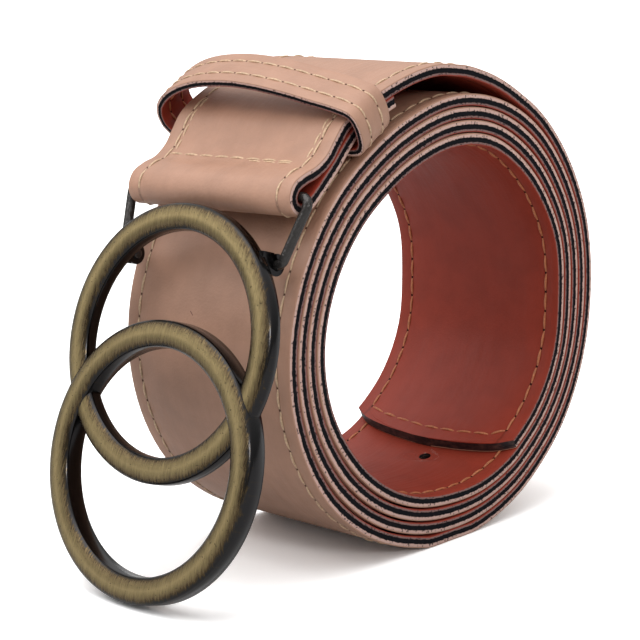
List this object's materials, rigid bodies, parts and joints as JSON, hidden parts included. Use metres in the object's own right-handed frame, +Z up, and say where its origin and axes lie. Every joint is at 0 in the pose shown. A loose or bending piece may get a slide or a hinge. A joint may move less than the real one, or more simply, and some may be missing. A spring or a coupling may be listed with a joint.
{
  "type": "double ring belt",
  "caption": "Rolled two-tone leather belt with a keeper loop, a wire bail and a buckle cast as two overlapping rings.",
  "frame": {"origin": "middle of the bounding box at the floor", "axes": "+X along the axis of the roll and the width of the strap, -Y to the front where the double ring hangs, +Z up; the part stands on its roll"},
  "size_m": [0.06, 0.126, 0.1029],
  "materials": {
    "face_leather": "smooth tan face with a fine grain",
    "black_core": "matt black core seen at the cut edge",
    "lining_leather": "smooth red-brown lining",
    "black_wire": "blackened round wire",
    "antique_brass": "brushed antique brass with dark walls"
  },
  "bodies": {
    "belt": {"strap_face": "face_leather", "strap_core": "black_core", "strap_lining": "lining_leather", "keeper_face": "face_leather", "keeper_core": "black_core", "keeper_lining": "lining_leather"},
    "bail": {"wire_bail": "black_wire"},
    "ring": {"double_ring": "antique_brass"}
  },
  "joints": [
    {"name": "bail_swing", "type": "hinge", "parent": "belt", "child": "bail", "pos_m": [0.0015, -0.03386, 0.07739], "axis": [-0.9995, 0.0151, -0.0262], "range_deg": [0, 90]},
    {"name": "ring_swing", "type": "hinge", "parent": "bail", "child": "ring", "pos_m": [0.0008, -0.03847, 0.06433], "axis": [-0.9988, -0.0128, -0.0472], "range_deg": [-15, 10]}
  ]
}
